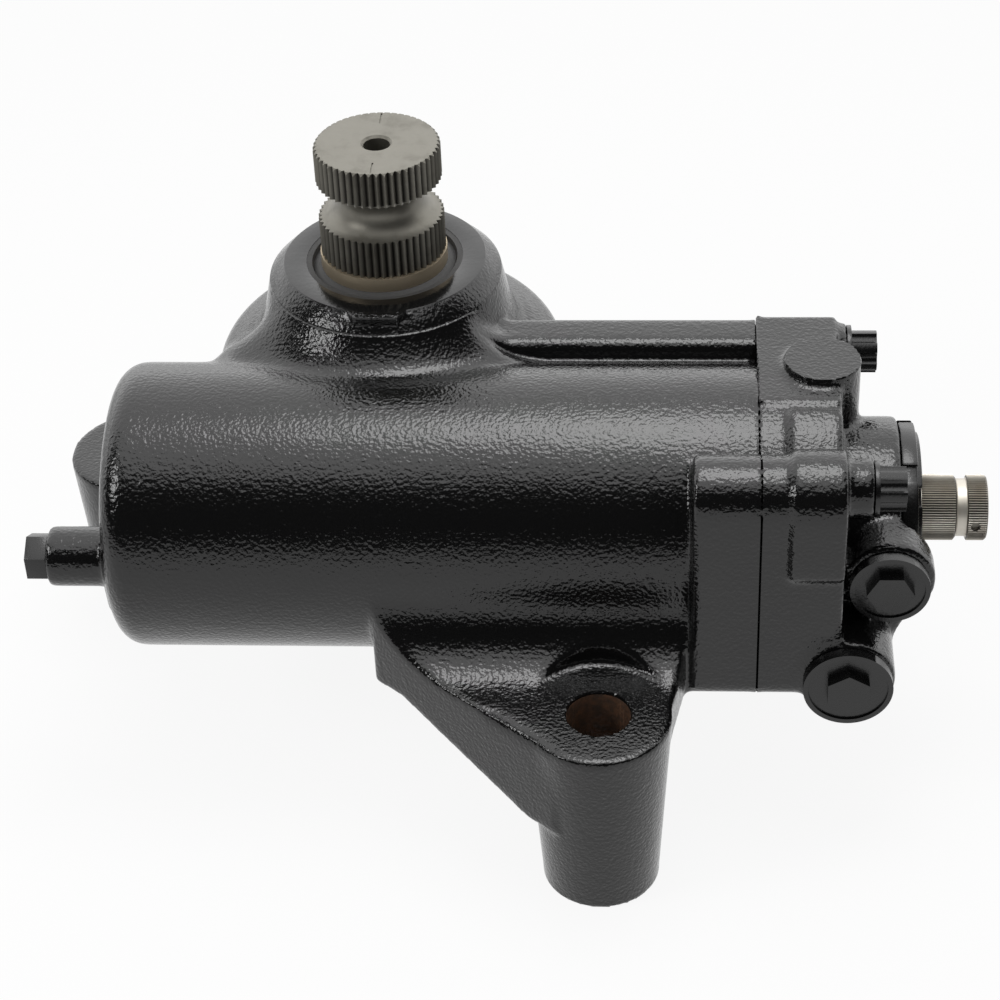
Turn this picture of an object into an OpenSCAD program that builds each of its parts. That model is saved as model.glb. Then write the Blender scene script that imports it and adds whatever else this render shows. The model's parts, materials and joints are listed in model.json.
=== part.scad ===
// Integral hydraulic steering gear for a heavy vehicle, in millimetres.
// X runs along the piston and the input shaft, Z along the sector shaft, which points up.
// The modules are drawn about the point of the piston axis that lies nearest the sector shaft.
// placed() then moves everything so that the origin lies under the middle, on the feet.

/* [Sector shaft] */
// Outside diameter of the output serrations
serration_d = 57.2; // [55.5:0.1:57.6]
// Number of output serrations
serration_teeth = 51; // [40:1:60]
// Depth of the output serrations
serration_depth = 1.7; // [1:0.1:2.2]
// Length of the upper serrated band
upper_serration = 17; // [12:0.5:20]
// Length of the lower serrated band
lower_serration = 18.3; // [14:0.1:20]
// Width of the round groove that the clamp bolt passes
clamp_groove = 18.6; // [14:0.2:20]
// Height of the shaft end above the housing face
shaft_reach = 59.8; // [58:0.2:70]
// Diameter of the upper journal
journal_d = 58.2; // [57.8:0.1:59]
// Diameter of the lower journal in the cover
cover_journal_d = 54; // [50:0.5:56]
// Diameter of the centre hole in the shaft end
centre_hole_d = 12; // [8:0.5:14]

/* [Teeth] */
// Tooth module of rack and sector
tooth_module = 7; // [6.6:0.1:7.2]
// Pressure angle of the teeth in degrees
pressure_angle = 25; // [24:0.5:27]
// Pitch radius of the sector
sector_pitch_r = 42; // [41.5:0.1:43]
// Width of the toothed sector
sector_face = 58; // [50:1:60]
// Distance from the piston axis to the pitch line of the rack
rack_offset = 34; // [33.6:0.1:34.4]
// Play between the tooth flanks along the pitch line
backlash = 0.5; // [0.4:0.05:0.7]

/* [Piston] */
// Diameter of the piston bore
bore_d = 106; // [104:0.5:107]
// Gap between piston and bore on the radius
piston_gap = 0.08; // [0.04:0.01:0.1]
// Piston length to the left of the sector axis
piston_left = 75; // [73:0.5:75.5]
// Piston length to the right of the sector axis
piston_right = 100; // [97:0.5:103]
// Diameter of the poppet bore
poppet_bore_d = 12; // [11.6:0.1:13]
// Height of the poppet bore in front of the piston axis
poppet_offset = 39; // [38:0.5:40]

/* [Worm] */
// Lead of the ball track
worm_lead = 13; // [12:0.25:15]
// Outside diameter of the worm
worm_d = 31.2; // [30.4:0.1:31.6]
// Ball diameter
ball_d = 6.8; // [6:0.1:7]
// Radius of the ball centres about the worm axis
ball_circle_r = 16.5; // [16.3:0.1:16.8]
// Diameter of the torsion bar ends
bar_end_d = 10; // [9:0.2:11]
// Diameter of the slim middle of the torsion bar
bar_d = 7; // [5.5:0.2:8]

/* [Housing] */
// Wall of the cylinder
cylinder_wall = 12; // [10:0.5:13]
// Depth of the bore to the left of the sector axis
bore_left = 110; // [109.5:0.5:116]
// Thickness of the closed end
end_wall = 9; // [8:0.5:14]
// Rounding of the closed end
end_round = 12; // [6:0.5:16]
// Distance from the sector axis to the joint of the two housings
joint_x = 170; // [168:0.5:172]
// Thickness of the housing flange at the joint
flange_t = 29; // [26:0.5:32]
// Height of the sector shaft face above the piston axis
face_z = 85.4; // [84.5:0.1:90]
// Diameter of the sector shaft boss
trunnion_d = 107; // [100:1:110]
// Diameter of the flat face of that boss
trunnion_face_d = 92.8; // [88:0.4:96]
// Outside radius of the sector chamber
drum_r = 82; // [80:0.5:83]
// Height of the sector chamber above the piston axis
drum_top = 46; // [42:0.5:48]
// Depth of the cover joint below the piston axis
cover_joint = 70; // [69:0.5:72]
// Length of the stop screw boss
stop_boss = 27; // [20:0.5:30]
// Diameter of the stop screw boss
stop_boss_d = 27; // [24:0.5:30]

/* [Mounting] */
// Depth of the mounting plane below the piston axis
foot_drop = 123; // [120:0.5:130]
// Depth of the upper faces of the ears below the piston axis
ear_drop = 30.6; // [28:0.2:32]
// Diameter of the mounting holes
mount_hole_d = 28; // [22:0.5:30]
// Diameter of a mounting boss at its upper end
boss_top_d = 64; // [60:0.5:65]
// Diameter of a mounting boss at its foot
boss_foot_d = 52; // [48:0.5:60]
// Front mounting hole along X
front_mount_x = 101.4; // [98:0.2:102]
// Front mounting hole in front of the piston axis
front_mount_y = 106.3; // [104:0.1:110]
// Left mounting hole along X, to the left of the sector axis
left_mount_x = 131; // [128:0.5:134]
// Left mounting hole behind the piston axis
left_mount_y = 82; // [78:0.5:86]
// Rear mounting hole along X
rear_mount_x = 107; // [106:0.5:110]
// Rear mounting hole behind the piston axis
rear_mount_y = 114; // [113:0.5:118]

/* [Valve housing] */
// Length of the flange block of the valve housing
valve_block = 36; // [35:0.5:38]
// Diameter of the nose around the bearing adjuster
nose_d = 82; // [79:0.5:84]
// Length of the nose
nose_length = 27; // [26:0.5:29]
// Radius of the valve housing bolt circle
bolt_circle_r = 71; // [70:0.5:72]
// Radius of the flange lobes around the lower bolts
lobe_r = 21; // [19:0.5:23]
// Rounding of the pillar at the front of the flange
pillar_r = 18; // [16:0.5:20]
// Diameter of the valve bore
valve_bore_d = 52; // [50:0.5:54]
// Pressure port along X, from the joint
pressure_port_x = 56.9; // [56:0.1:57.6]
// Return port along X, from the joint
return_port_x = 39.5; // [38.5:0.5:40.5]
// Depth of the return port below the piston axis
return_port_drop = 38; // [37:0.5:40]

/* [Input shaft] */
// Diameter of the input shaft
input_d = 29.8; // [28.6:0.2:30.4]
// Number of input serrations
input_teeth = 79; // [48:1:90]
// Length of the input shaft beyond the joint of the housings
input_reach = 103; // [102:0.2:108]

/* [Hidden] */
$fn = 96;
// Colours
paint = [0.05, 0.05, 0.055];
steel = [0.5, 0.48, 0.44];
bright = [0.62, 0.61, 0.58];
rubber = [0.06, 0.06, 0.06];
// Common fits
eps = 0.5;
slip = 0.05;
free = 0.4;

// Sector shaft heights
serration_r = serration_d / 2;
journal_r = journal_d / 2;
cover_journal_r = cover_journal_d / 2;
shaft_top = face_z + shaft_reach;
upper_low = shaft_top - upper_serration;
lower_top = upper_low - clamp_groove;
lower_low = lower_top - lower_serration;
axis_y = rack_offset + sector_pitch_r;
root_r = sector_pitch_r - 1.15 * tooth_module;
tip_r = sector_pitch_r + tooth_module;
rack_pitch = PI * tooth_module;
tooth_step = rack_pitch / sector_pitch_r * 180 / PI;
half_thick = (rack_pitch / 2 - backlash / 2) / 2;
base_r = sector_pitch_r * cos(pressure_angle);

// Upper bearing and seals on the sector shaft
roller_d = 6;
cup_wall = 3.6;
cup_r = journal_r + slip + roller_d + slip + cup_wall;
cup_low = 40;
cup_top = 60;
roof_z = sector_face / 2 + 4;
seal_r = cup_r - 2.8;
seal_low = cup_top + 1;
seal_top = seal_low + 8.5;
washer_low = seal_top + 0.2;
washer_top = washer_low + 2.6;
clip_low = washer_top + 0.3;
clip_top = clip_low + 2.4;
clip_r = seal_r + 1.8;
dirt_low = clip_top + 0.6;

// Cover and lower bearing
gasket_t = 1;
chamber_r = 54;
cover_face = -cover_joint - gasket_t;
cover_t = 11;
cover_r = drum_r - 6;
cover_low = cover_face - cover_t;
cover_boss_low = cover_low - 15;
lower_cup_r = cover_journal_r + slip + roller_d + slip + 2.8;
lower_cup_low = cover_face + 3;
lower_cup_top = lower_cup_low + 21;
cover_ring_r = lower_cup_r + 4;
shaft_low = cover_face - 11;
screw_r = 8;
screw_head_r = 10.5;
pocket_r = 12;
pocket_top = shaft_low + 12;
cover_bolts = 6;
cover_bolt_r = drum_r - 17;
cover_bolt_turn = 0;

// Piston, worm and balls
bore_r = bore_d / 2;
piston_r = bore_r - piston_gap;
cylinder_r = bore_r + cylinder_wall;
rack_tip_y = rack_offset + tooth_module;
rack_root_y = rack_offset - 1.15 * tooth_module;
rack_window = 61;
worm_r = worm_d / 2;
ball_r = ball_d / 2;
track_r = ball_r + 0.4;
worm_bore_r = worm_r + 2;
worm_low = 12;
track_low = 15;
track_high = 122;
nut_low = 52;
nut_high = 83;
ball_turns = 1.75;
balls = 24;
relief_r = ball_circle_r + ball_r + 0.4;
bar_end_r = bar_end_d / 2;
worm_bore_low = -28;
piston_groove = piston_right - 14;
ring_w = 5;
stem_r = 3.4;
seat_r = poppet_bore_d / 2 + 2;
head_r = poppet_bore_d / 2 - 0.3;
seat_t = 8;
head_t = 8;
spring_length = 30;
spring_turns = 8;
guide_x0 = 57;
guide_x1 = 79;
guide_z = -44;
guide_r = 4.6;

// Valve stack along X
spigot_low = joint_x - 24;
shoulder_x = joint_x - 16;
bearing_t = 5;
flange_x0 = shoulder_x + bearing_t + slip;
worm_flange = 5;
sleeve_x0 = flange_x0 + worm_flange;
sleeve_x1 = joint_x + 34.95;
race_x = sleeve_x1 + slip;
valve_bore_r = valve_bore_d / 2;
sleeve_r = valve_bore_r - 2;
spool_r = 16;
adjuster_x0 = race_x + bearing_t;
adjuster_r = valve_bore_r + 8;
nose_r = nose_d / 2;
block_x1 = joint_x + valve_block;
nose_x1 = block_x1 + nose_length;
locknut_t = 7;
adjuster_x1 = nose_x1 + locknut_t + 2;
input_r = input_d / 2;
input_x1 = joint_x + input_reach;
input_groove_x = input_x1 - 11.5;
pin_x = input_x1 - 5.4;
bar_x0 = flange_x0 - 24;
bar_x1 = input_x1 - 2;
bolt_turns = [46, 136, 263, 328];
seat_steps = [5, 12, 12, 12];
bolt_r = 6;
seat_boss_r = 13;
pillar_front = -cylinder_r - 10;
pillar_z = bolt_circle_r * sin(bolt_turns[1]);
pillar_low = -50;
flat_z = cylinder_r + 0.6;

// Ports
port_r = 10;
pressure_x = joint_x + pressure_port_x;
pressure_face = -56;
return_x = joint_x + return_port_x;
return_face = -76;

// Stop screw
stop_x = -bore_left - end_wall - stop_boss;
stop_r = 6.5;
stop_head = 9.4;

// Middle of the outside box, and the feet
left_x = min(stop_x - stop_head, -left_mount_x - boss_top_d / 2);
back_y = max(axis_y + drum_r, rear_mount_y + boss_top_d / 2, left_mount_y + boss_top_d / 2);
mid_x = (left_x + input_x1) / 2;
mid_y = (back_y - front_mount_y - boss_top_d / 2) / 2;
frame_shift = [-mid_x, -mid_y, foot_drop];

// Basic forms: bars along the axes, rings and turned parts
module placed() {
  translate(frame_shift) children();
}

module bar_x(r, x0, x1, y = 0, z = 0) {
  translate([x0, y, z]) rotate([0, 90, 0]) cylinder(r = r, h = x1 - x0);
}

module bar_y(r, y0, y1, x = 0, z = 0) {
  translate([x, y0, z]) rotate([-90, 0, 0]) cylinder(r = r, h = y1 - y0);
}

module bar_z(r, z0, z1, x = 0, y = 0) {
  translate([x, y, z0]) cylinder(r = r, h = z1 - z0);
}

module ring_x(outer, inner, x0, x1) {
  difference() {
    bar_x(outer, x0, x1);
    bar_x(inner, x0 - eps, x1 + eps);
  }
}

module ring_z(outer, inner, z0, z1) {
  difference() {
    bar_z(outer, z0, z1);
    bar_z(inner, z0 - eps, z1 + eps);
  }
}

module turned_x() {
  rotate([0, 90, 0]) rotate_extrude() children();
}

module at_sector() {
  translate([0, axis_y, 0]) children();
}

// A flat outline in Y and Z, drawn out along X
module along_x(x0, x1) {
  translate([x0, 0, 0]) rotate([90, 0, 90]) linear_extrude(height = x1 - x0) children();
}

module box(low, high) {
  translate(low) cube(high - low);
}

// Serrated disc outline with sharp triangular teeth
module serrated(outer, depth, teeth) {
  polygon([for (i = [0 : 2 * teeth - 1])
    let (r = i % 2 == 0 ? outer : outer - depth, a = 180 * i / teeth)
    [r * cos(a), r * sin(a)]]);
}

module hexagon(flats) {
  circle(d = flats / cos(30), $fn = 6);
}

// Gear housing
module cylinder_profile() {
  low = -bore_left - end_wall;
  translate([0, low + end_round]) square([cylinder_r, joint_x - flange_t - low]);
  translate([0, low]) square([cylinder_r - end_round, end_round + eps]);
  translate([cylinder_r - end_round, low + end_round]) circle(r = end_round);
}

module trunnion_profile() {
  shoulder = 20;
  boss_r = trunnion_d / 2;
  rim = trunnion_d / 2 - trunnion_face_d / 2;
  fillet = 8;
  draft = 7;
  translate([0, -cover_joint]) square([drum_r, cover_joint + drum_top - shoulder]);
  translate([0, -cover_joint]) square([drum_r - shoulder, cover_joint + drum_top]);
  translate([drum_r - shoulder, drum_top - shoulder]) circle(r = shoulder);
  polygon([[0, 0], [boss_r + draft, 0], [boss_r + draft, drum_top], [boss_r, face_z - rim],
    [boss_r - rim, face_z], [0, face_z]]);
  difference() {
    translate([boss_r, drum_top - eps]) square([draft + fillet - 1, fillet + eps]);
    translate([boss_r + draft + fillet - 1, drum_top + fillet]) circle(r = fillet);
  }
}

// Flange outline: cylinder, front pillar, upper back corner and lower lobes
module pillar_outline(grow) {
  front = pillar_front - grow;
  translate([pillar_front + pillar_r, pillar_z]) circle(r = pillar_r + grow);
  translate([front, pillar_low + 8]) square([pillar_r + 22, pillar_z - pillar_low - 8]);
  translate([front + 8, pillar_low]) square([pillar_r + 14, 20]);
  translate([front + 8, pillar_low + 8]) circle(r = 8);
}

module flange_outline() {
  circle(r = cylinder_r);
  pillar_outline(0);
  rotate(bolt_turns[0]) translate([bolt_circle_r, 0]) circle(r = 11);
  for (i = [2, 3]) rotate(bolt_turns[i]) translate([bolt_circle_r, 0]) circle(r = lobe_r);
}

module mount_boss(x, y) {
  translate([x, y, -foot_drop])
    cylinder(r1 = boss_foot_d / 2, r2 = boss_top_d / 2, h = foot_drop - ear_drop);
}

module front_ear_plan(r, back) {
  cx = front_mount_x;
  cy = -front_mount_y;
  root = -cylinder_r;
  reach = sqrt(cx * cx + (cy - root) * (cy - root));
  turn = atan2(cy - root, cx) - asin(r / reach);
  run = sqrt(reach * reach - r * r);
  touch = [run * cos(turn), root + run * sin(turn)];
  polygon(concat([[0, -40], [0, root], touch, [cx, cy]], back));
}

module front_ear() {
  plate = 20;
  rib = 50;
  r = boss_top_d / 2 - 1.5;
  side = [[front_mount_x + r, -front_mount_y], [joint_x - flange_t, -60], [joint_x - flange_t, -40]];
  mount_boss(front_mount_x, -front_mount_y);
  translate([0, 0, -ear_drop - plate]) linear_extrude(height = plate) front_ear_plan(r, side);
  difference() {
    translate([0, 0, -ear_drop - rib]) linear_extrude(height = rib)
      front_ear_plan(r, [[40, -40]]);
    rotate([90, 0, 0]) linear_extrude(height = 200)
      polygon([[-40, -ear_drop + 8], [-15, -ear_drop - 6], [70, -ear_drop - rib], [70, -120],
        [-40, -120]]);
  }
  intersection() {
    linear_extrude(height = 100, center = true) front_ear_plan(r, side);
    along_x(-1, joint_x - flange_t)
      difference() {
        translate([-cylinder_r - ear_drop, -ear_drop - 4]) square([ear_drop + 20, ear_drop + 4]);
        translate([-cylinder_r - ear_drop, 0]) circle(r = ear_drop);
      }
  }
}

module back_ear(x, y) {
  r = boss_top_d / 2 - 3;
  web = cover_joint - ear_drop - 4;
  side = x < 0 ? -1 : 1;
  mount_boss(x, y);
  translate([0, 0, -ear_drop - web]) linear_extrude(height = web)
    polygon([[x, y + r], [side * 30, axis_y + 60], [side * 30, 30], [x - side * 6, y - r], [x, y - r]]);
}

module rail() {
  round_r = 6;
  top = 62;
  y0 = 39;
  y1 = 63;
  along_x(46, joint_x) {
    translate([y0, 20]) square([y1 - y0, top - 20 - round_r]);
    translate([y0 + round_r, 20]) square([y1 - y0 - 2 * round_r, top - 20]);
    translate([y0 + round_r, top - round_r]) circle(r = round_r);
    translate([y1 - round_r, top - round_r]) circle(r = round_r);
  }
}

module timing_tab() {
  at_sector() translate([0, 0, face_z - 9]) linear_extrude(height = 9)
    polygon([[-14, -44], [14, -44], [10, -trunnion_face_d / 2 - 4.2], [-10, -trunnion_face_d / 2 - 4.2]]);
}

module housing_outside() {
  turned_x() cylinder_profile();
  along_x(joint_x - flange_t, joint_x) flange_outline();
  at_sector() rotate_extrude() trunnion_profile();
  timing_tab();
  rail();
  front_ear();
  back_ear(-left_mount_x, left_mount_y);
  back_ear(rear_mount_x, rear_mount_y);
  bar_x(stop_boss_d / 2, stop_x, -bore_left - 2, -poppet_offset, 0);
}

module housing_inside() {
  spot = boss_top_d / 2 + 0.8;
  bar_x(bore_r, -bore_left, joint_x + eps);
  at_sector() {
    bar_z(chamber_r, -cover_joint - eps, roof_z);
    bar_z(cup_r + slip, roof_z - eps, cup_top + 0.4);
    bar_z(seal_r + slip, cup_top, face_z + eps);
    bar_z(clip_r, clip_low - slip, clip_top + slip);
    for (i = [0 : cover_bolts - 1]) rotate(cover_bolt_turn + i * 360 / cover_bolts)
      bar_z(bolt_r + slip, -cover_joint - eps, -cover_joint + 15.5, cover_bolt_r, 0);
  }
  bar_x(stop_r + slip, stop_x - eps, -bore_left + eps, -poppet_offset, 0);
  for (a = bolt_turns) rotate([a, 0, 0])
    bar_x(bolt_r + slip, joint_x - 24, joint_x + eps, bolt_circle_r, 0);
  for (p = [[front_mount_x, -front_mount_y], [-left_mount_x, left_mount_y],
      [rear_mount_x, rear_mount_y]]) {
    bar_z(mount_hole_d / 2, -foot_drop - eps, -ear_drop + eps, p[0], p[1]);
    bar_z(spot, -ear_drop, -ear_drop + 34, p[0], p[1]);
  }
  bar_x(4.5, 44, joint_x + eps, 52, 36);
  bar_z(4.5, roof_z - 6, 36, 44, 52);
}

module gear_housing() {
  color(paint) difference() {
    housing_outside();
    housing_inside();
  }
}

// Cover under the sector chamber with the lower bearing and the adjusting screw
module side_cover() {
  color(paint) at_sector() difference() {
    union() {
      bar_z(cover_r, cover_low, cover_face);
      bar_z(chamber_r - 0.1, cover_low, cover_face + 14);
      bar_z(cover_ring_r, cover_low, lower_cup_top + 1);
      bar_z(40, cover_boss_low, cover_low + eps);
    }
    bar_z(lower_cup_r + slip, lower_cup_low - 0.2, lower_cup_top + 2);
    bar_z(cover_journal_r + 3, shaft_low - 1.5, lower_cup_top);
    bar_z(screw_r + slip, cover_boss_low - eps, shaft_low);
    for (i = [0 : cover_bolts - 1]) rotate(cover_bolt_turn + i * 360 / cover_bolts)
      bar_z(bolt_r + 0.3, cover_low - eps, cover_face + eps, cover_bolt_r, 0);
  }
}

module side_cover_gasket() {
  color(rubber) at_sector() difference() {
    ring_z(cover_r - 1, chamber_r + 0.2, cover_face, -cover_joint);
    for (i = [0 : cover_bolts - 1]) rotate(cover_bolt_turn + i * 360 / cover_bolts)
      bar_z(bolt_r + 0.3, cover_face - eps, -cover_joint + eps, cover_bolt_r, 0);
  }
}

module side_cover_bolts() {
  color(paint) at_sector()
    for (i = [0 : cover_bolts - 1]) rotate(cover_bolt_turn + i * 360 / cover_bolts)
      translate([cover_bolt_r, 0, 0]) {
        bar_z(bolt_r, cover_low - 1, -cover_joint + 14);
        translate([0, 0, cover_low - 8]) linear_extrude(height = 8) hexagon(18);
      }
}

module sector_adjust_screw() {
  color(steel) at_sector() difference() {
    union() {
      bar_z(screw_r, cover_boss_low - 16, pocket_top - 4.5);
      bar_z(screw_head_r, pocket_top - 5, pocket_top - 0.4);
    }
    translate([0, 0, cover_boss_low - 16 - eps]) linear_extrude(height = 7) hexagon(8);
  }
}

module adjust_lock_nut() {
  color(paint) at_sector() difference() {
    translate([0, 0, cover_boss_low - 11]) linear_extrude(height = 11) hexagon(27);
    bar_z(screw_r + slip, cover_boss_low - 12, cover_boss_low + eps);
  }
}

module stop_screw() {
  color(paint) {
    bar_x(stop_r, stop_x - eps, -bore_left - 4, -poppet_offset, 0);
    translate([stop_x - stop_head, -poppet_offset, 0]) rotate([0, 90, 0])
      linear_extrude(height = stop_head) hexagon(19);
  }
}

// Upper bearing, seals and clip around the sector shaft
module output_bearing_cup() {
  color(bright) at_sector() ring_z(cup_r, cup_r - cup_wall, cup_low, cup_top);
}

module rollers_around(journal, count, z0, z1) {
  for (i = [0 : count - 1]) rotate(i * 360 / count)
    bar_z(roller_d / 2, z0, z1, journal + slip + roller_d / 2, 0);
}

module output_rollers() {
  color(bright) at_sector() rollers_around(journal_r, 32, cup_low + 1, cup_top - 1);
}

module output_seal() {
  color(rubber) at_sector() rotate_extrude()
    polygon([[journal_r + slip, seal_low], [journal_r + slip, seal_low + 3], [journal_r + 2, seal_low + 5],
      [journal_r + 2, seal_top], [seal_r, seal_top], [seal_r, seal_low]]);
}

module output_seal_washer() {
  color(bright) at_sector() ring_z(seal_r, journal_r + 1, washer_low, washer_top);
}

module output_retaining_ring() {
  color(bright) at_sector() difference() {
    ring_z(clip_r - 0.1, seal_r - 2.8, clip_low, clip_top);
    box([-4, 0, clip_low - eps], [4, clip_r + 2, clip_top + eps]);
  }
}

module output_dirt_seal() {
  color(rubber) at_sector() rotate_extrude()
    polygon([[journal_r + slip, dirt_low], [journal_r + slip, face_z - 0.6], [journal_r + 2.2, face_z - 1.6],
      [journal_r + 3.6, face_z - 2.4], [journal_r + 4.4, face_z - 0.4], [seal_r, face_z - 0.2],
      [seal_r, dirt_low]]);
}

module cover_bearing_cup() {
  color(bright) at_sector() ring_z(lower_cup_r, lower_cup_r - 2.8, lower_cup_low, lower_cup_top);
}

module cover_rollers() {
  color(bright) at_sector() rollers_around(cover_journal_r, 30, lower_cup_low + 1, lower_cup_top - 1);
}

// Valve housing with bolts, ports and plugs
module valve_outside() {
  along_x(joint_x, block_x1) {
    flange_outline();
    translate([-10, 20]) square([67, flat_z - 20]);
  }
  along_x(joint_x + 13, block_x1) difference() {
    union() {
      circle(r = cylinder_r + 2.5);
      pillar_outline(2.5);
    }
    translate([-16, -200]) square([400, 400]);
    translate([-200, -200]) square([400, 219]);
  }
  bar_x(bore_r - 0.1, spigot_low, joint_x + eps);
  bar_x(nose_r, block_x1 - 1, nose_x1);
  bar_z(17, 30, 69.5, joint_x + 28.5, 17);
  for (i = [0 : 3]) rotate([bolt_turns[i], 0, 0])
    bar_x(seat_boss_r, block_x1 - 1, block_x1 + seat_steps[i], bolt_circle_r, 0);
  bar_y(20, pressure_face, 0, pressure_x, 1.5);
  bar_y(21, return_face, -20, return_x, -return_port_drop);
  hull() {
    bar_y(19, pressure_face + 8, -10, pressure_x, 1.5, $fn = 32);
    bar_y(19, pressure_face + 8, -10, return_x, -return_port_drop, $fn = 32);
  }
}

module valve_inside() {
  bar_x(17, spigot_low - eps, sleeve_x0);
  bar_x(valve_bore_r, shoulder_x, adjuster_x0 + 1);
  bar_x(adjuster_r + slip, adjuster_x0 + 0.5, nose_x1 + eps);
  bar_x(nose_r + 0.6, nose_x1, input_x1);
  ring_x(bore_r + 2, bore_r - 3.3, spigot_low + 8, spigot_low + 11.6);
  for (i = [0 : 3]) rotate([bolt_turns[i], 0, 0]) {
    bar_x(bolt_r + 0.3, joint_x - eps, block_x1 + seat_steps[i] + eps, bolt_circle_r, 0);
    bar_x(seat_boss_r + 0.6, block_x1 + seat_steps[i], block_x1 + 50, bolt_circle_r, 0);
  }
  bar_y(port_r + slip, pressure_face - eps, pressure_face + 18, pressure_x, 1.5);
  bar_y(port_r + slip, return_face - eps, return_face + 24, return_x, -return_port_drop);
  bar_x(5, sleeve_x1 - 20, pressure_x, pressure_face + 15, 1.5);
  bar_y(4, pressure_face + 15, -valve_bore_r + 4, sleeve_x1 - 15, 1.5);
  bar_y(5, return_face + 20, -14, return_x - 8, -return_port_drop);
  bar_z(4, -return_port_drop, -valve_bore_r + 7, return_x - 8, -19);
  bar_x(4.5, joint_x - eps, joint_x + 18, 52, 36);
  rotate([atan2(36, 52), 0, 0]) bar_y(3.8, valve_bore_r - 4, norm([52, 36]), joint_x + 13, 0);
}

module valve_housing() {
  color(paint) difference() {
    valve_outside();
    valve_inside();
  }
}

module valve_housing_o_ring() {
  color(rubber) turned_x() translate([bore_r - 1.65, spigot_low + 9.8]) circle(r = 1.6, $fn = 32);
}

// Six-lobed flange head
module lobed_head() {
  linear_extrude(height = 12) difference() {
    circle(r = 9.6);
    for (i = [0 : 5]) rotate(30 + 60 * i) translate([11.2, 0]) circle(r = 3.4, $fn = 32);
  }
}

module valve_housing_bolts() {
  color(paint) for (i = [0 : 3]) rotate([bolt_turns[i], 0, 0]) {
    seat = block_x1 + seat_steps[i];
    bar_x(bolt_r, joint_x - 22, seat + 1, bolt_circle_r, 0);
    bar_x(12, seat, seat + 2, bolt_circle_r, 0);
    translate([seat + 1.5, bolt_circle_r, 0]) rotate([0, 90, 0]) lobed_head();
  }
}

module plug(flange_r, turn, depth) {
  rotate([90, 0, 0]) {
    bar_z(port_r, -depth, 1);
    difference() {
      bar_z(flange_r, 0.6, 5.4);
      ring_z(flange_r - 2.2, 9, 4.4, 7);
    }
    translate([0, 0, 0.6]) rotate(turn) linear_extrude(height = 8.4) hexagon(18);
  }
}

module pressure_port_plug() {
  color(paint) translate([pressure_x, pressure_face, 1.5]) plug(17.4, 0, 14);
}

module return_port_plug() {
  color(paint) translate([return_x, return_face, -return_port_drop]) plug(19.6, 30, 18);
}

module port_plug_seals() {
  color(rubber) {
    translate([pressure_x, pressure_face, 1.5]) rotate([90, 0, 0]) ring_z(15, port_r + 0.1, 0, 0.6);
    translate([return_x, return_face, -return_port_drop]) rotate([90, 0, 0])
      ring_z(15, port_r + 0.1, 0, 0.6);
  }
}

// Thrust bearings: two races with needles between them
module thrust_bearing(x0, inner) {
  outer = valve_bore_r - 0.4;
  ring_x(outer, inner, x0, x0 + 1.2);
  ring_x(outer, inner, x0 + bearing_t - 1.2, x0 + bearing_t);
  for (i = [0 : 19]) rotate([i * 18, 0, 0])
    bar_y(1.25, inner + 1, outer - 1.2, x0 + bearing_t / 2, 0);
}

module lower_thrust_bearing() {
  color(bright) thrust_bearing(shoulder_x, worm_r + 0.8);
}

module upper_thrust_bearing() {
  color(bright) thrust_bearing(race_x, input_r + 2);
}

module bearing_adjuster() {
  color(paint) difference() {
    union() {
      bar_x(valve_bore_r - 0.1, adjuster_x0, adjuster_x0 + 3);
      bar_x(adjuster_r, adjuster_x0 + 1, adjuster_x1);
    }
    bar_x(input_r + 0.08, adjuster_x0 - eps, adjuster_x1 + eps);
    bar_x(input_r + 6.05, adjuster_x1 - 18, adjuster_x1 + eps);
    bar_x(input_r + 7.4, adjuster_x1 - 9.1, adjuster_x1 - 6.9);
    for (a = [45 : 90 : 315]) rotate([a, 0, 0])
      box([adjuster_x1 - 6, adjuster_r - 5, -4], [adjuster_x1 + eps, adjuster_r + eps, 4]);
  }
}

module adjuster_locknut() {
  color(paint) difference() {
    ring_x(nose_r - 2, adjuster_r + slip, nose_x1, nose_x1 + locknut_t);
    for (a = [0 : 60 : 300]) rotate([a, 0, 0])
      box([nose_x1 - eps, nose_r - 4.4, -4], [nose_x1 + locknut_t + eps, nose_r, 4]);
  }
}

module input_seal() {
  color(rubber) ring_x(input_r + 6, input_r + slip, adjuster_x1 - 18, adjuster_x1 - 10);
}

module input_retaining_ring() {
  color(bright) difference() {
    ring_x(input_r + 7.3, input_r + 3.4, adjuster_x1 - 9, adjuster_x1 - 7);
    box([adjuster_x1 - 10, -3, 0], [adjuster_x1 - 6, 3, input_r + 9]);
  }
}

module input_dust_seal() {
  color(rubber) ring_x(input_r + 6, input_r + slip, adjuster_x1 - 6, adjuster_x1 - 0.5);
}

// Sector shaft with teeth, journals and serrations
function involute(a) = tan(a) * 180 / PI - a;
function flank(r) = half_thick / sector_pitch_r * 180 / PI + involute(pressure_angle)
  - involute(acos(base_r / max(r, base_r)));
function tooth_side(side) = [for (i = [0 : 7])
  let (k = side < 0 ? i : 7 - i, r = k == 0 ? root_r - 2 : base_r + (tip_r - base_r) * (k - 1) / 6)
  [r * sin(side * flank(r)), -r * cos(flank(r))]];

module sector_outline() {
  circle(r = root_r);
  for (i = [-1 : 1]) rotate(i * tooth_step) polygon(concat(tooth_side(-1), tooth_side(1)));
}

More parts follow.
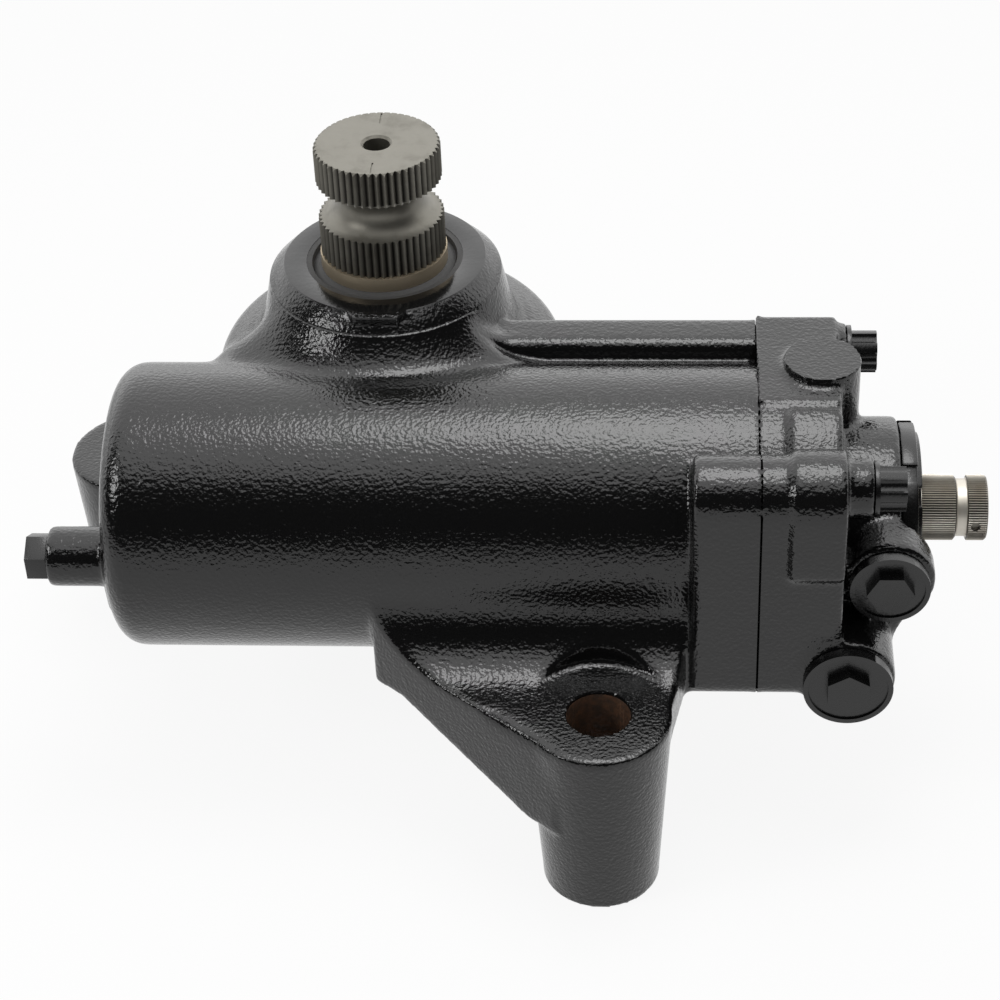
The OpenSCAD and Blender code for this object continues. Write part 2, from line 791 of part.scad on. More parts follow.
module sector_shaft() {
  color(steel) at_sector() difference() {
    union() {
      bar_z(cover_journal_r, shaft_low, eps);
      translate([0, 0, -sector_face / 2]) linear_extrude(height = sector_face) sector_outline();
      bar_z(journal_r, sector_face / 2 - eps, lower_low);
      translate([0, 0, lower_low - eps]) linear_extrude(height = shaft_top - lower_low + eps)
        serrated(serration_r, serration_depth, serration_teeth);
    }
    translate([0, 0, lower_top + clamp_groove / 2]) rotate_extrude()
      translate([serration_r, 0]) circle(r = clamp_groove / 2);
    rotate_extrude()
      polygon([[serration_r - 1.6, shaft_top + eps], [serration_r + 3, shaft_top + eps],
        [serration_r + 3, shaft_top - 4.1]]);
    bar_z(centre_hole_d / 2, shaft_top - 22, shaft_top + eps);
    translate([0, 0, shaft_top - 1.6])
      cylinder(r1 = centre_hole_d / 2 - eps, r2 = centre_hole_d / 2 + 1.2, h = 1.7);
    bar_z(pocket_r + slip, shaft_low - eps, pocket_top);
    for (a = [0, 180]) rotate(a)
      box([-0.4, serration_r - 11, shaft_top - 0.5], [0.4, serration_r - 2, shaft_top + eps]);
  }
}

module adjuster_retainer() {
  color(steel) at_sector() ring_z(pocket_r, screw_r + 0.3, shaft_low + 0.5, pocket_top - 5.2);
}

// Rack piston with its ring, ball circuit and relief poppets
module rack_gap() {
  rise = rack_tip_y - rack_root_y + 1;
  half = rack_pitch / 2 - half_thick;
  low = half - (rack_offset - rack_root_y) * tan(pressure_angle);
  high = low + rise * tan(pressure_angle);
  polygon([[-low, rack_root_y], [low, rack_root_y], [high, rack_root_y + rise], [-high, rack_root_y + rise]]);
}

module rack_piston() {
  color(steel) difference() {
    union() {
      bar_x(piston_r, -piston_left, piston_right);
    }
    box([-rack_window, rack_tip_y, -bore_d], [rack_window, bore_d, bore_d]);
    for (i = [-1 : 1]) translate([i * rack_pitch, 0, -bore_d]) linear_extrude(height = 2 * bore_d) rack_gap();
    bar_x(worm_bore_r, worm_bore_low, piston_right + eps);
    bar_x(relief_r, nut_low, nut_high);
    ring_x(bore_r + 2, bore_r - 5, piston_groove, piston_groove + ring_w);
    bar_x(poppet_bore_d / 2, -piston_left - eps, piston_right + eps, -poppet_offset, 0);
    bar_x(seat_r + slip, -piston_left - eps, -piston_left + seat_t, -poppet_offset, 0);
    bar_x(seat_r + slip, piston_right - seat_t, piston_right + eps, -poppet_offset, 0);
    for (x = [guide_x0, guide_x1]) bar_z(guide_r + slip, guide_z, -worm_bore_r + 2, x, 0);
    hull() {
      bar_z(guide_r + 1, -bore_r, guide_z + guide_r + slip, guide_x0, 0, $fn = 32);
      bar_z(guide_r + 1, -bore_r, guide_z + guide_r + slip, guide_x1, 0, $fn = 32);
    }
    box([61.5, -12, -bore_r], [74.5, 12, guide_z]);
    for (y = [-8.5, 8.5]) bar_z(2.05, guide_z - 2, guide_z + 9, 68, y);
  }
}

module piston_ring() {
  color(rubber) ring_x(bore_r - 0.02, bore_r - 2.4, piston_groove + 0.1, piston_groove + ring_w - 0.1);
}

module piston_ring_backup() {
  color(rubber) turned_x() translate([bore_r - 3.7, piston_groove + ring_w / 2]) circle(r = 1.25, $fn = 32);
}

module recirculating_balls() {
  x_mid = (nut_low + nut_high) / 2;
  color(bright) for (i = [0 : balls - 1])
    let (turn = 360 * ball_turns * (i / (balls - 1) - 0.5), x = x_mid + worm_lead * turn / 360)
    translate([x, 0, 0]) rotate([turn, 0, 0]) translate([0, 0, -ball_circle_r]) sphere(r = ball_r, $fn = 32);
}

module ball_return_guide() {
  color(bright) difference() {
    union() {
      for (x = [guide_x0, guide_x1]) bar_z(guide_r, guide_z, -worm_bore_r - 2.6, x, 0);
      bar_x(guide_r, guide_x0, guide_x1, 0, guide_z);
      for (x = [guide_x0, guide_x1]) translate([x, 0, guide_z]) sphere(r = guide_r);
    }
    for (x = [guide_x0, guide_x1]) bar_z(ball_r + 0.2, guide_z, -worm_bore_r, x, 0);
    bar_x(ball_r + 0.2, guide_x0, guide_x1, 0, guide_z);
  }
}

module return_guide_clip() {
  color(bright) difference() {
    box([62, -11, guide_z - 5.4], [74, 11, guide_z]);
    bar_x(guide_r + slip, 60, 76, 0, guide_z);
    for (y = [-8.5, 8.5]) bar_z(2.2, guide_z - 6, guide_z + eps, 68, y);
  }
}

module guide_clip_screws() {
  color(bright) for (y = [-8.5, 8.5]) {
    bar_z(2, guide_z - 6, guide_z + 8, 68, y);
    bar_z(3.4, guide_z - 7.2, guide_z - 5.4, 68, y);
  }
}

module poppet_seats() {
  color(bright) for (x = [-piston_left, piston_right - seat_t])
    translate([0, -poppet_offset, 0]) ring_x(seat_r, stem_r + 0.08, x, x + seat_t);
}

// Coil of round wire along X, as rings of points around a helix
function coil_point(turn, a, r, wire, pitch) =
  let (q = r + wire * cos(a))
  [pitch * turn / 360 + wire * sin(a), q * cos(turn), q * sin(turn)];

module coil(length, turns, r, wire) {
  steps = turns * 12;
  sides = 6;
  pitch = (length - 2 * wire) / turns;
  points = [for (i = [0 : steps]) for (k = [0 : sides - 1])
    coil_point(i * 30, k * 360 / sides, r, wire, pitch)];
  walls = [for (i = [0 : steps - 1]) for (k = [0 : sides - 1]) for (half = [0 : 1])
    let (a = i * sides + k, b = i * sides + (k + 1) % sides)
    half == 0 ? [a, b, b + sides] : [a, b + sides, a + sides]];
  first = [for (k = [0 : sides - 1]) sides - 1 - k];
  last = [for (k = [0 : sides - 1]) steps * sides + k];
  translate([wire, 0, 0]) polyhedron(points = points, faces = concat(walls, [first], [last]));
}

module poppet_spring() {
  color(bright) translate([piston_right - seat_t - head_t - spring_length, -poppet_offset, 0])
    coil(spring_length, spring_turns, 4.2, 0.7);
}

module lower_poppet() {
  color(bright) translate([0, -poppet_offset, 0]) {
    bar_x(stem_r, -piston_left - 3.4, -piston_left + seat_t + 1);
    bar_x(head_r, -piston_left + seat_t + 0.3, -piston_left + seat_t + head_t);
  }
}

module poppet_push_tube() {
  color(bright) translate([0, -poppet_offset, 0])
    ring_x(poppet_bore_d / 2 - 0.6, 2.6, -piston_left + seat_t + head_t,
      piston_right - seat_t - head_t - spring_length);
}

module upper_poppet() {
  color(bright) translate([0, -poppet_offset, 0]) {
    bar_x(stem_r, piston_right - seat_t - 1, piston_right + 3.4);
    bar_x(head_r, piston_right - seat_t - head_t, piston_right - seat_t - 0.3);
  }
}

// Worm with its helical ball track; the section turns once per lead
function track_half() = sqrt(track_r * track_r - (ball_circle_r - worm_r) * (ball_circle_r - worm_r));
function track_turn(s) = 360 * s / cos(atan(worm_lead / (2 * PI * ball_circle_r))) / worm_lead;
function worm_section() = concat(
  [for (i = [-4 : 4]) let (s = track_half() * sin(i * 22.5))
    let (r = ball_circle_r - sqrt(track_r * track_r - s * s), a = track_turn(s))
    [r * cos(a), r * sin(a)]],
  [for (i = [1 : 5]) let (edge = track_turn(track_half()), a = edge + (360 - 2 * edge) * i / 6)
    [worm_r * cos(a), worm_r * sin(a)]]);

module worm_track() {
  x_mid = (nut_low + nut_high) / 2;
  turns = (track_high - track_low) / worm_lead;
  translate([track_low, 0, 0]) rotate([360 * (track_low - x_mid) / worm_lead, 0, 0]) rotate([0, 90, 0])
    linear_extrude(height = track_high - track_low, twist = -360 * turns, slices = ceil(turns * 16), $fn = 14)
      polygon(worm_section());
}

module worm_shaft() {
  color(steel) difference() {
    union() {
      bar_x(ball_circle_r - track_r - 2.4, worm_low, track_low + 1);
      worm_track();
      bar_x(worm_r + 0.3, track_high - 1, flange_x0 + 1);
      bar_x(sleeve_r - 0.4, flange_x0, sleeve_x0);
    }
    bar_x(bar_end_r + 0.04, bar_x0 - 1, sleeve_x0 + eps);
    bar_y(2.03, -worm_r - eps, worm_r + eps, bar_x0 + 7, 0);
  }
}

module valve_sleeve() {
  color(bright) difference() {
    bar_x(sleeve_r, sleeve_x0, sleeve_x1);
    bar_x(spool_r + 0.06, sleeve_x0 - eps, sleeve_x1 + eps);
    for (x = [sleeve_x0 + 5, sleeve_x0 + 19, sleeve_x0 + 33])
      ring_x(sleeve_r + 2, sleeve_r - 1.6, x, x + 3);
    for (a = [0 : 60 : 300]) rotate([a, 0, 0]) {
      box([sleeve_x0 + 9, spool_r - 1, -2.2], [sleeve_x0 + 31, spool_r + 1.6, 2.2]);
      bar_y(2, spool_r, sleeve_r + eps, sleeve_x0 + 14, 0);
    }
  }
}

module valve_seal_rings() {
  color(rubber) for (x = [sleeve_x0 + 5, sleeve_x0 + 19, sleeve_x0 + 33])
    ring_x(valve_bore_r - 0.05, sleeve_r - 1.5, x + 0.1, x + 2.9);
}

module torsion_bar() {
  color(bright) difference() {
    union() {
      bar_x(bar_end_r, bar_x0, bar_x0 + 16);
      bar_x(bar_d / 2, bar_x0 + 15, bar_x1 - 15);
      bar_x(bar_end_r, bar_x1 - 16, bar_x1);
    }
    bar_y(2.03, -bar_end_r - eps, bar_end_r + eps, bar_x0 + 7, 0);
    bar_y(3.1, -bar_end_r - eps, bar_end_r + eps, pin_x, 0);
  }
}

module worm_pin() {
  color(bright) bar_y(2, -worm_r + 0.5, worm_r - 0.5, bar_x0 + 7, 0);
}

// Input shaft: spool in the sleeve, journal in the adjuster, serrated end
module input_shaft() {
  serration_x0 = adjuster_x1 + 1;
  color(bright) difference() {
    union() {
      bar_x(spool_r, sleeve_x0 + 1, sleeve_x1 - 1);
      bar_x(input_r, sleeve_x1 - 2, serration_x0 + eps);
      translate([serration_x0, 0, 0]) rotate([0, 90, 0])
        linear_extrude(height = input_x1 - serration_x0) serrated(input_r - 0.06, 0.9, input_teeth);
    }
    for (a = [30 : 60 : 330]) rotate([a, 0, 0])
      box([sleeve_x0 + 8, spool_r - 1.5, -2.4], [sleeve_x0 + 32, spool_r + 1, 2.4]);
    turned_x() polygon([[input_r + 2, input_groove_x - 5], [input_r - 1.9, input_groove_x - 1.8],
      [input_r - 1.9, input_groove_x + 2.2], [input_r + 2, input_groove_x + 3.8]]);
    turned_x() polygon([[input_r - 1.4, input_x1 + eps], [input_r + 2, input_x1 + eps],
      [input_r + 2, input_x1 - 3.4]]);
    bar_x(bar_end_r + 0.5, sleeve_x0, input_x1 - 24);
    bar_x(bar_end_r + 0.06, sleeve_x0, input_x1 + eps);
    bar_y(2.23, -input_r - eps, input_r + eps, pin_x, 0);
  }
}

module torsion_bar_pin() {
  color(steel) bar_y(2.2, -input_r + 2, input_r - 2, pin_x, 0);
}

placed() gear_housing();
placed() side_cover();
placed() side_cover_gasket();
placed() side_cover_bolts();
placed() sector_adjust_screw();
placed() adjust_lock_nut();
placed() stop_screw();
placed() output_bearing_cup();
placed() output_rollers();
placed() output_seal();
placed() output_seal_washer();
placed() output_retaining_ring();
placed() output_dirt_seal();
placed() cover_bearing_cup();
placed() cover_rollers();
placed() valve_housing();
placed() valve_housing_o_ring();
placed() valve_housing_bolts();
placed() pressure_port_plug();
placed() return_port_plug();
placed() port_plug_seals();
placed() lower_thrust_bearing();
placed() upper_thrust_bearing();
placed() bearing_adjuster();
placed() adjuster_locknut();
placed() input_seal();
placed() input_retaining_ring();
placed() input_dust_seal();
placed() sector_shaft();
placed() adjuster_retainer();
placed() rack_piston();
placed() piston_ring();
placed() piston_ring_backup();
placed() recirculating_balls();
placed() ball_return_guide();
placed() return_guide_clip();
placed() guide_clip_screws();
placed() poppet_seats();
placed() poppet_spring();
placed() lower_poppet();
placed() poppet_push_tube();
placed() upper_poppet();
placed() worm_shaft();
placed() valve_sleeve();
placed() valve_seal_rings();
placed() torsion_bar();
placed() worm_pin();
placed() input_shaft();
placed() torsion_bar_pin();
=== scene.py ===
"""Looks of a hydraulic steering gearbox: painted castings, bare shafts, black hardware."""
import json
import math

import bpy
import numpy as np
from mathutils import Matrix, Vector

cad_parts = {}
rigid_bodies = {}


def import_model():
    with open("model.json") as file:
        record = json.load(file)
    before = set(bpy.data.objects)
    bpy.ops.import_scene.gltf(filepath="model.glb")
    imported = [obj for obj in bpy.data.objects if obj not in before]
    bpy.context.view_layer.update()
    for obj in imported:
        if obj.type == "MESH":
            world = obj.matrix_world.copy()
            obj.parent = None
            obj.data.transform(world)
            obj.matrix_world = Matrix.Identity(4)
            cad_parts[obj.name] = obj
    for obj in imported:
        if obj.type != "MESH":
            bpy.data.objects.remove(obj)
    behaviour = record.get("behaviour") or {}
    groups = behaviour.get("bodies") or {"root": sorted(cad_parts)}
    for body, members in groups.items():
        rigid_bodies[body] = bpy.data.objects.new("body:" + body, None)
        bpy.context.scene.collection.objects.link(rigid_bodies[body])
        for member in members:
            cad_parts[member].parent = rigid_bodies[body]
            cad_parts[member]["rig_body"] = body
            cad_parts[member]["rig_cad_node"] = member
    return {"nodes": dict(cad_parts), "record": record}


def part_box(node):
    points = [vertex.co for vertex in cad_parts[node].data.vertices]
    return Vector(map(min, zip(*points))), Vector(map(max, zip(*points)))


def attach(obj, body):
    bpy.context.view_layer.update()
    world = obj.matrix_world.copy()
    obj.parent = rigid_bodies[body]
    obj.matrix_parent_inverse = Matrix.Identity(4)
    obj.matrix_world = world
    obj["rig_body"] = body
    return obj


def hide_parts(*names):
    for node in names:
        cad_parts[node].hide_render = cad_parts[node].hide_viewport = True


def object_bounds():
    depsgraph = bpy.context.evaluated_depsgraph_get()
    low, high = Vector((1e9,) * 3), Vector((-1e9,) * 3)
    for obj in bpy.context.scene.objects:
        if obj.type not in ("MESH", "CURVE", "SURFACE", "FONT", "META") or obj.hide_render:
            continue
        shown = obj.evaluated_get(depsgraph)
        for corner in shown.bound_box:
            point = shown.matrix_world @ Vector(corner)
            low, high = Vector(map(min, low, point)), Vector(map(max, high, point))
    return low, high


bl_info = {
    "name": "Steering gearbox",
    "version": (1, 0, 0),
    "blender": (4, 5, 0),
    "location": "View3D > Sidebar > Gearbox",
    "description": "Dresses the steering gearbox with castings, steels, paint and a studio",
    "category": "Object",
}

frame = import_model()
NODES = frame["nodes"]
CAD_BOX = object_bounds()


def middle(node):
    """Centre of a part's box at rest."""
    low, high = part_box(node)
    return (low + high) / 2


SECTOR_AXIS = middle("output_seal_washer")
PISTON_AXIS = middle("piston_ring")
FACE_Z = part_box("output_dirt_seal")[1].z + 0.0002
JOINT_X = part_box("gear_housing")[1].x
MM = 0.001


def gear(x, y, z):
    """A point in metres from millimetres about the piston axis, next to the sector shaft."""
    return Vector((SECTOR_AXIS.x + x * MM, PISTON_AXIS.y + y * MM, PISTON_AXIS.z + z * MM))


# Places and sizes on the part, in metres

FRONT_HOLE = gear(101.4, -106.3, 0)
MOUNT_HOLES = (FRONT_HOLE, gear(-131, 82, 0), gear(107, 114, 0))
SEAT_Z = gear(0, 0, -30.6).z
FEET_Z = gear(0, 0, -121).z
RING_R = 0.0534
PISTON_BORE_R = 0.0545
BORE_END_X = gear(-112, 0, 0).x
JOINT_FACE = 0.0015
PAD = gear(198.5, 17, 69.5)
# Root and tip radii and bands of the teeth, where painted shade darkens the roots
SECTOR_TEETH = (0.0269, 0.0284, (
    (gear(0, 0, 128.4).z, gear(0, 0, 144.9).z),
    (gear(0, 0, 91.5).z, gear(0, 0, 109.4).z)))
INPUT_TEETH = (0.0140, 0.0148, ((gear(242, 0, 0).x, gear(272.8, 0, 0).x),))
# The journal band, clean steel whose colour is also lifted as a painted reflection
JOURNAL = (gear(0, 0, 84).z, gear(0, 0, 91.4).z)
CAMERA_PLACE = gear(133.2, -933.8, 725.3)
CAMERA_YAW, CAMERA_PITCH, CAMERA_ROLL = (math.radians(turn) for turn in (4.83, 37.63, 2.68))


# Settings

class CastingSettings(bpy.types.PropertyGroup):
    """How the castings are shaped."""
    grid: bpy.props.FloatProperty(
        name="Grid", description="Cell size of the cast skin", default=0.0013, unit="LENGTH")
    rounds: bpy.props.IntProperty(
        name="Rounding", description="Smoothing passes that round the cast corners", default=14)
    blends: bpy.props.IntProperty(
        name="Blending", description="Smoothing passes where the boss runs into the cylinder", default=60)
    faces: bpy.props.IntProperty(
        name="Triangles", description="Most triangles in one casting", default=185000)


class PaintSettings(bpy.types.PropertyGroup):
    """Colours of the finishes."""
    paint: bpy.props.FloatVectorProperty(
        name="Paint", description="Black paint of the castings", subtype="COLOR",
        default=(0.0042, 0.0042, 0.0043))
    chip: bpy.props.FloatVectorProperty(
        name="Chip", description="Bare metal in the chips", subtype="COLOR", default=(0.30, 0.24, 0.17))
    shaft: bpy.props.FloatVectorProperty(
        name="Sector steel", description="Bare steel of the sector shaft", subtype="COLOR",
        default=(0.18, 0.172, 0.148))
    input_end: bpy.props.FloatVectorProperty(
        name="Input steel", description="Bare steel of the input shaft", subtype="COLOR",
        default=(0.56, 0.53, 0.47))
    bright: bpy.props.FloatVectorProperty(
        name="Ground steel", description="Ground steel of the inner parts", subtype="COLOR",
        default=(0.58, 0.57, 0.55))
    rust: bpy.props.FloatVectorProperty(
        name="Rust", description="Rust in the mounting holes", subtype="COLOR", default=(0.11, 0.055, 0.03))


class StudioSettings(bpy.types.PropertyGroup):
    """Camera and light."""
    lens: bpy.props.FloatProperty(name="Lens", description="Focal length", default=93.6, unit="CAMERA")
    top_power: bpy.props.FloatProperty(
        name="Top light", description="Power of the large lamp above", default=6.0, subtype="POWER")
    left_power: bpy.props.FloatProperty(
        name="Left light", description="Power of the lamp at the left", default=4.0, subtype="POWER")
    room: bpy.props.FloatProperty(
        name="Room light", description="Strength of the light from all around", default=0.55)


# Shader helpers

class Wire:
    """A shader value that takes part in plain arithmetic."""

    def __init__(self, finish, socket):
        self.finish = finish
        self.socket = socket

    def with_value(self, operation, other, swap=False, clamp=False):
        first, second = (other, self) if swap else (self, other)
        node = self.finish.add(
            "ShaderNodeMath", {"operation": operation, "use_clamp": clamp}, {0: first, 1: second})
        return Wire(self.finish, node.outputs[0])

    def __add__(self, other):
        return self.with_value("ADD", other)

    __radd__ = __add__

    def __sub__(self, other):
        return self.with_value("SUBTRACT", other)

    def __rsub__(self, other):
        return self.with_value("SUBTRACT", other, swap=True)

    def __mul__(self, other):
        return self.with_value("MULTIPLY", other)

    __rmul__ = __mul__

    def __pow__(self, other):
        return self.with_value("POWER", other)

    def __gt__(self, other):
        return self.with_value("GREATER_THAN", other)

    def __lt__(self, other):
        return self.with_value("LESS_THAN", other)

    def clipped(self):
        return self.with_value("ADD", 0.0, clamp=True)

    def step(self, low, high):
        """0 below low, 1 above high, smooth between."""
        node = self.finish.add(
            "ShaderNodeMapRange", {"interpolation_type": "SMOOTHSTEP"},
            {"Value": self, "From Min": low, "From Max": high})
        return Wire(self.finish, node.outputs["Result"])


class Finish:
    """One material and the nodes that make it."""

    def __init__(self, name):
        self.material = bpy.data.materials.new(name)
        self.material.use_nodes = True
        self.tree = self.material.node_tree
        self.tree.nodes.clear()
        self.output = self.add("ShaderNodeOutputMaterial")

    def add(self, kind, settings=None, sockets=None):
        """A node of this kind, its settings first, then the values or links of its sockets."""
        node = self.tree.nodes.new(kind)
        for key, value in (settings or {}).items():
            setattr(node, key, value)
        for key, value in (sockets or {}).items():
            self.put(node.inputs[key], value)
        return node

    def put(self, socket, value):
        """Links a wire or a socket, or sets a plain value."""
        if isinstance(value, Wire):
            self.tree.links.new(value.socket, socket)
        elif isinstance(value, bpy.types.NodeSocket):
            self.tree.links.new(value, socket)
        elif socket.type == "RGBA" and len(value) == 3:
            socket.default_value = (*value, 1.0)
        else:
            socket.default_value = value

    def wire(self, socket):
        return Wire(self, socket)

    def place(self):
        """Object coordinates as one vector socket."""
        return self.add("ShaderNodeTexCoord").outputs["Object"]

    def axes(self):
        """Object coordinates as three wires."""
        node = self.add("ShaderNodeSeparateXYZ", None, {"Vector": self.place()})
        return [self.wire(node.outputs[k]) for k in "XYZ"]

    def rays(self, *kinds):
        """For each kind of light ray, a wire that is 1 on such a ray."""
        node = self.add("ShaderNodeLightPath")
        return [self.wire(node.outputs[kind]) for kind in kinds]

    def noise(self, scale, detail, rough, vector=None):
        node = self.add(
            "ShaderNodeTexNoise", None,
            {"Vector": vector or self.place(), "Scale": scale, "Detail": detail, "Roughness": rough})
        return self.wire(node.outputs["Fac"])

    def stretched(self, factors):
        """Object coordinates scaled unevenly, for drawn-out patterns."""
        node = self.add("ShaderNodeMapping", None, {"Vector": self.place(), "Scale": factors})
        return node.outputs["Vector"]

    def mixed(self, factor, first, second):
        """Colour between the first, at 0, and the second, at 1."""
        node = self.add("ShaderNodeMix", {"data_type": "RGBA"}, {"Factor": factor, 6: first, 7: second})
        return node.outputs[2]

    def bumped(self, height, distance, strength):
        node = self.add(
            "ShaderNodeBump", None, {"Height": height, "Distance": distance, "Strength": strength})
        return node.outputs["Normal"]

    def surface(self, sockets):
        shader = self.add("ShaderNodeBsdfPrincipled", None, sockets)
        self.tree.links.new(shader.outputs[0], self.output.inputs["Surface"])
        return self.material


class Room(Finish):
    """The world around the part, built with the same nodes."""

    def __init__(self, world):
        world.use_nodes = True
        self.tree = world.node_tree
        self.tree.nodes.clear()
        self.output = self.add("ShaderNodeOutputWorld")

    def place(self):
        """The direction that is looked at."""
        return self.add("ShaderNodeTexCoord").outputs["Generated"]


def ring_distance(across, up, centre):
    """Distance from an axis that is seen end on."""
    dx = across - centre.x
    dy = up - centre.y
    return (dx * dx + dy * dy) ** 0.5


def casting_paint(tones):
    """Gloss black paint on a rough casting, smooth on the boss face, with chips and a rusty hole."""
    finish = Finish("black_casting_paint")
    x, y, z = finish.axes()
    around = ring_distance(x, y, SECTOR_AXIS)
    face = (z > FACE_Z - 0.0007) * (around < 0.0468)
    hole = ring_distance(x, y, FRONT_HOLE)
    in_bore = (hole < 0.0146) * (z < SEAT_Z - 0.0015)
    grain = finish.noise(640.0, 1.0, 0.4)
    fine = finish.noise(1500.0, 2.0, 0.6)
    lumps = finish.noise(60.0, 3.0, 0.5)
    tick = (x > SECTOR_AXIS.x - 0.0005) * (x < SECTOR_AXIS.x + 0.0005)
    tick = tick * (y < SECTOR_AXIS.y - 0.040)
    height = (grain * 0.8 + fine * 0.12) * (1 - face * 0.85) + lumps * 0.6 - tick * face * 0.6
    chips = finish.noise(95.0, 6.0, 0.75).step(0.745, 0.765)
    tone = finish.mixed(chips, tones.paint, tones.chip)
    patches = finish.noise(300.0, 4.0, 0.6).step(0.3, 0.7)
    rust_tone = finish.mixed(patches, tones.rust, (0.05, 0.032, 0.022))
    tone = finish.mixed(in_bore, tone, rust_tone)
    rough = 0.09 + fine * 0.06 + face * 0.05 + chips * 0.3 + in_bore * 0.4
    return finish.surface({
        "Base Color": tone, "Roughness": rough, "Specular IOR Level": 0.5,
        "Normal": finish.bumped(height, 0.0008, 0.5),
    })


def hardware_paint(tones):
    """Satin black paint on turned steel."""
    finish = Finish("black_hardware_paint")
    fine = finish.noise(900.0, 2.0, 0.5)
    scuff = finish.noise(160.0, 5.0, 0.7).step(0.70, 0.76)
    tone = finish.mixed(scuff, tones.paint, (0.10, 0.095, 0.088))
    return finish.surface({
        "Base Color": tone, "Roughness": 0.2 + fine * 0.12 + scuff * 0.2, "Specular IOR Level": 0.5,
        "Normal": finish.bumped(fine, 0.0003, 0.25),
    })


def bare_steel(name, tone, dark, metal, rough, lines, teeth=None, journal=None):
    """Machined steel with turning marks, stains, painted shade in the roots of the teeth, and a clean
    journal whose colour is also lifted as a painted reflection.
    """
    finish = Finish(name)
    turned = finish.noise(1.0, 3.0, 0.6, finish.stretched(lines))
    stain = finish.noise(90.0, 4.0, 0.6)
    shade = finish.mixed(stain.step(0.45, 0.75), tone, dark)
    if teeth:
        root, tip, bands = teeth
        x, y, z = finish.axes()
        if journal:
            around, along = ring_distance(x, y, SECTOR_AXIS), z
        else:
            around, along = ring_distance(y, z, PISTON_AXIS.yz), x
        # painted shade: the roots between the teeth are darkened to stand in for the shade that falls in
        # them
        painted_root_shade = (1 - around.step(root, tip)) * (around > root - 0.0003)
        inside = sum((along > low) * (along < high) for low, high in bands)
        shade = finish.mixed(painted_root_shade * inside * 0.92, shade, (0.012, 0.011, 0.009))
        if journal:
            # the journal is clean machined steel, and its colour is also lifted as a painted reflection of
            # light it does not get here
            clean_and_sheen = (along > journal[0]) * (along < journal[1])
            shade = finish.mixed(clean_and_sheen, shade, (0.44, 0.37, 0.27))
    return finish.surface({
        "Base Color": shade, "Metallic": metal, "Roughness": rough + turned * 0.18,
        "Normal": finish.bumped(turned, 0.0002, 0.15),
    })


def seal_rubber():
    """Matt black rubber."""
    finish = Finish("seal_rubber")
    fine = finish.noise(700.0, 3.0, 0.6)
    tone = finish.mixed(fine, (0.018, 0.018, 0.018), (0.035, 0.034, 0.033))
    return finish.surface({
        "Base Color": tone, "Roughness": 0.55 + fine * 0.2,
        "Normal": finish.bumped(fine, 0.0002, 0.3),
    })


FINISHES = {}


def finishes():
    """The materials, made once."""
    if not FINISHES:
        tones = bpy.context.scene.gearbox_paint
        FINISHES["black_casting"] = casting_paint(tones)
        FINISHES["black_hardware"] = hardware_paint(tones)
        FINISHES["forged_steel"] = bare_steel(
            "sector_steel", tones.shaft, (0.135, 0.128, 0.108), 0.8, 0.36, (260.0, 260.0, 2600.0),
            SECTOR_TEETH, JOURNAL)
        FINISHES["input_steel"] = bare_steel(
            "input_steel", tones.input_end, (0.44, 0.40, 0.34), 0.75, 0.34, (2600.0, 260.0, 260.0),
            INPUT_TEETH)
        FINISHES["bright_steel"] = bare_steel(
            "ground_steel", tones.bright, (0.45, 0.43, 0.40), 0.95, 0.25, (900.0, 900.0, 900.0))
        FINISHES["seal_rubber"] = seal_rubber()
    return FINISHES


# Modelling helpers

def clear_selection():
    if bpy.context.object and bpy.context.object.mode != "OBJECT":
        bpy.ops.object.mode_set(mode="OBJECT")
    bpy.ops.object.select_all(action="DESELECT")


def node_slot(node):
    """Material slot that the record gives a part."""
    return next(s["material_slot"] for s in frame["record"]["subparts"] if s["node"] == node)


def node_body(node):
    """Body that a part moves with."""
    return next(b for b, members in frame["record"]["behaviour"]["bodies"].items() if node in members)


def paint(piece, slot):
    piece.data.materials.clear()
    piece.data.materials.append(finishes()[slot])


def copied(node, name):
    """A merged copy of a solid, ready to be finished."""
    clear_selection()
    source = NODES[node]
    source.select_set(True)
    bpy.context.view_layer.objects.active = source
    bpy.ops.object.duplicate()
    piece = bpy.context.object
    piece.name = name
    piece.data.name = name
    piece.parent = None
    piece.matrix_world = Matrix.Identity(4)
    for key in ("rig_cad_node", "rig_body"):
        if key in piece:
            del piece[key]
    bpy.ops.object.mode_set(mode="EDIT")
    bpy.ops.mesh.select_all(action="SELECT")
    bpy.ops.mesh.remove_doubles(threshold=0.000002)
    bpy.ops.object.mode_set(mode="OBJECT")
    if piece.data.has_custom_normals:
        bpy.ops.mesh.customdata_custom_splitnormals_clear()
    return piece


def applied(piece, kind, **settings):
    """Adds a modifier with these settings and applies it."""
    modifier = piece.modifiers.new(kind.title(), kind)
    for key, value in settings.items():
        setattr(modifier, key, value)
    bpy.context.view_layer.objects.active = piece
    bpy.ops.object.modifier_apply(modifier=modifier.name)


def bevelled(piece, width, segments, degrees):
    """Breaks the edges that are sharper than this angle."""
    applied(piece, "BEVEL", width=width, segments=segments, limit_method="ANGLE",
            angle_limit=math.radians(degrees), use_clamp_overlap=True)


def shaded(piece, degrees):
    """Smooth shading up to this angle."""
    clear_selection()
    piece.select_set(True)
    bpy.context.view_layer.objects.active = piece
    bpy.ops.object.shade_smooth_by_angle(angle=math.radians(degrees))


def points_of(piece):
    """The points of a mesh as rows of x, y and z."""
    values = np.empty(len(piece.data.vertices) * 3, np.float32)
    piece.data.vertices.foreach_get("co", values)
    return values.reshape(-1, 3)


def move_points(piece, rule):
    """Gives the points the places that the rule returns for them."""
    piece.data.vertices.foreach_set("co", rule(points_of(piece)).ravel())
    piece.data.update()


